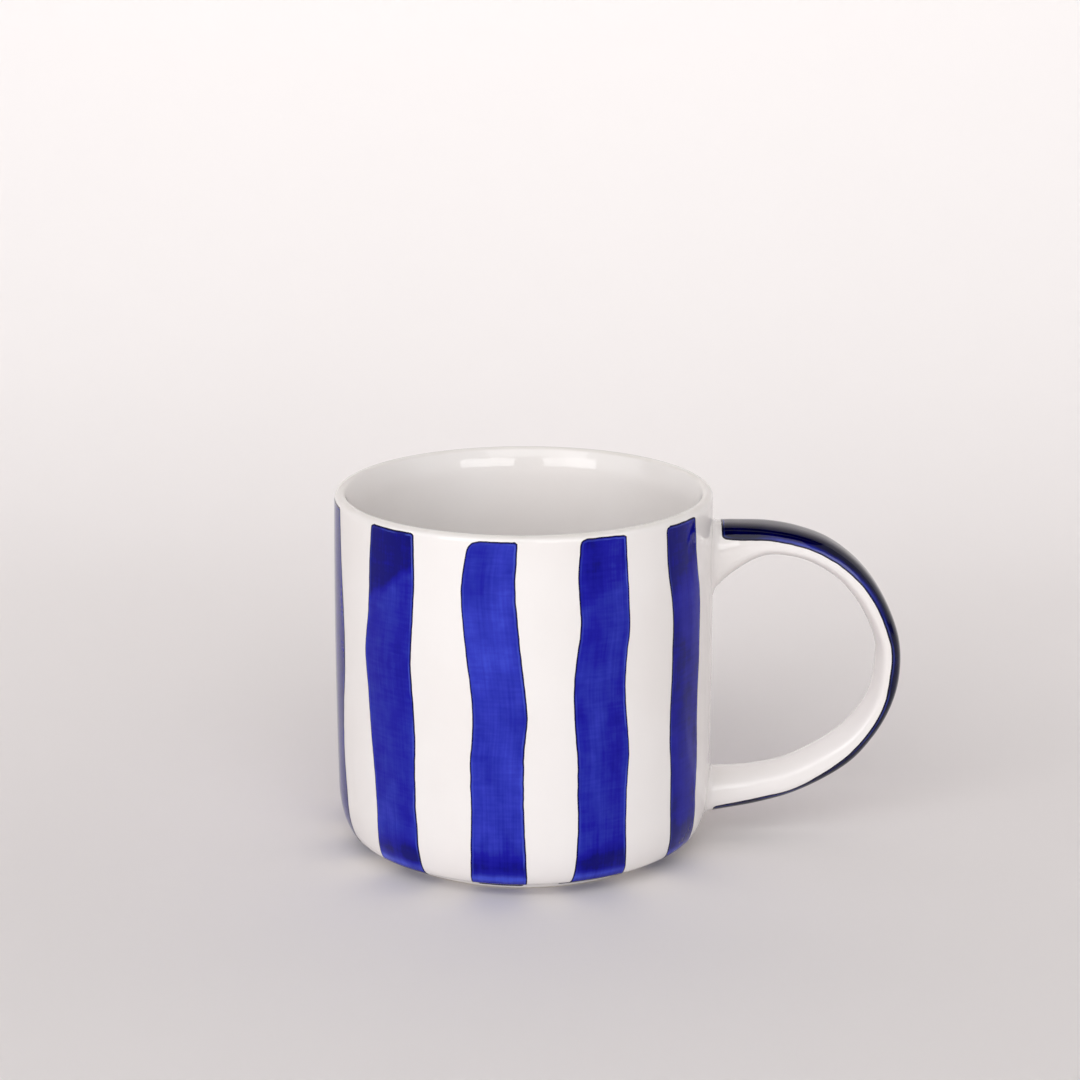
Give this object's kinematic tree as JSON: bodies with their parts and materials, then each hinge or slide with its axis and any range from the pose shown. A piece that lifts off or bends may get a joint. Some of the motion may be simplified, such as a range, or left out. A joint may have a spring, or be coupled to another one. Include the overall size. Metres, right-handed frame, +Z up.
{
  "type": "mug",
  "caption": "Straight-sided glazed ceramic mug on a narrow foot, with an ear-shaped handle and hand-painted upright brush strokes.",
  "frame": {"origin": "centre of the foot ring, on the plane it rests on", "axes": "+Z up along the cup's axis, +X from the cup's axis towards the handle, +Y across the handle"},
  "size_m": [0.1366, 0.0912, 0.0875],
  "materials": {
    "white_glaze": "clear gloss glaze over white stoneware, bare clay under the foot",
    "cobalt_paint": "cobalt brush strokes under the same clear gloss glaze, darker where the pigment pooled along the edges"
  },
  "bodies": {
    "root": {"body": "white_glaze", "handle": "white_glaze", "upper_slip_joint": "white_glaze", "lower_slip_joint": "white_glaze", "stripe_1": "cobalt_paint", "stripe_2": "cobalt_paint", "stripe_3": "cobalt_paint", "stripe_4": "cobalt_paint", "stripe_5": "cobalt_paint", "stripe_6": "cobalt_paint", "stripe_7": "cobalt_paint", "stripe_8": "cobalt_paint", "stripe_9": "cobalt_paint", "stripe_10": "cobalt_paint", "handle_stripe": "cobalt_paint"}
  },
  "joints": []
}
